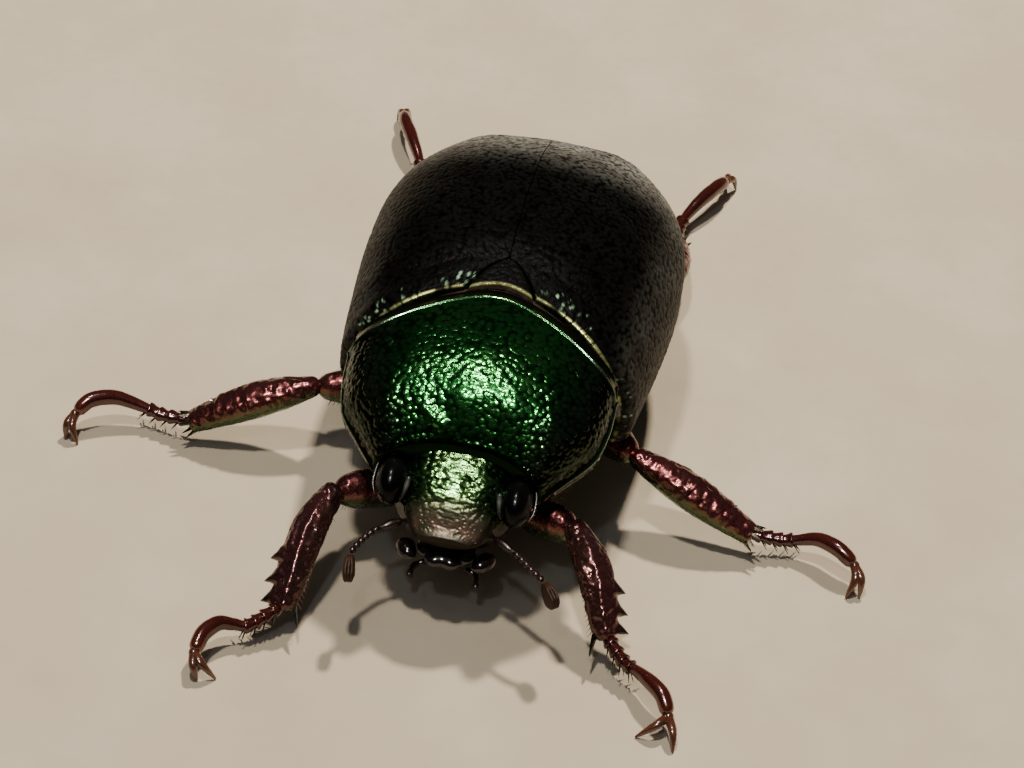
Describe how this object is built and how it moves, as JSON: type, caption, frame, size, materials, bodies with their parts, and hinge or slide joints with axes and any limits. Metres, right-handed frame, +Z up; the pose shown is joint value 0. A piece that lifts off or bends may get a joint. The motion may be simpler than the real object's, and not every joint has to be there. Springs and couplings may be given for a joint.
{
  "type": "pelidnota granulata beetle",
  "caption": "Life-size still model of a stout scarab with metallic green forebody, black-green wing cases and copper-red legs, standing on its claws.",
  "frame": {"origin": "on the ground plane under the claws, at the middle of the whole model's box", "axes": "+Z up; the head points to -Y and the hind legs to +Y; +X is the beetle's own left side"},
  "size_m": [0.0352, 0.0392, 0.0108],
  "materials": {
    "green_shell": "metallic green, coarsely granular, glossy",
    "dark_shell": "near-black green, granular, satin gloss",
    "eye": "glossy black",
    "mouth_and_antenna": "dark red-brown, glossy",
    "underside": "olive brown with a coppery sheen",
    "leg": "copper-red metallic, pitted",
    "foot": "amber to dark red-brown, glossy"
  },
  "bodies": {
    "root": {"head": "green_shell", "eye_left": "eye", "eye_right": "eye", "antenna_left": "mouth_and_antenna", "antenna_right": "mouth_and_antenna", "antenna_club_left": "mouth_and_antenna", "antenna_club_right": "mouth_and_antenna", "labrum": "mouth_and_antenna", "mandible_left": "mouth_and_antenna", "mandible_right": "mouth_and_antenna", "palp_left": "mouth_and_antenna", "palp_right": "mouth_and_antenna", "pronotum": "green_shell", "prosternum": "underside", "scutellum": "dark_shell", "elytron_left": "dark_shell", "elytron_right": "dark_shell", "thorax": "underside", "abdomen": "underside", "pygidium": "dark_shell", "fore_left_coxa": "underside", "fore_left_femur": "leg", "fore_left_tibia": "leg", "fore_left_tarsus": "foot", "fore_left_claws": "foot", "fore_right_coxa": "underside", "fore_right_femur": "leg", "fore_right_tibia": "leg", "fore_right_tarsus": "foot", "fore_right_claws": "foot", "mid_left_coxa": "underside", "mid_left_femur": "leg", "mid_left_tibia": "leg", "mid_left_tarsus": "foot", "mid_left_claws": "foot", "mid_right_coxa": "underside", "mid_right_femur": "leg", "mid_right_tibia": "leg", "mid_right_tarsus": "foot", "mid_right_claws": "foot", "hind_left_coxa": "underside", "hind_left_femur": "leg", "hind_left_tibia": "leg", "hind_left_tarsus": "foot", "hind_left_claws": "foot", "hind_right_coxa": "underside", "hind_right_femur": "leg", "hind_right_tibia": "leg", "hind_right_tarsus": "foot", "hind_right_claws": "foot"}
  },
  "joints": []
}
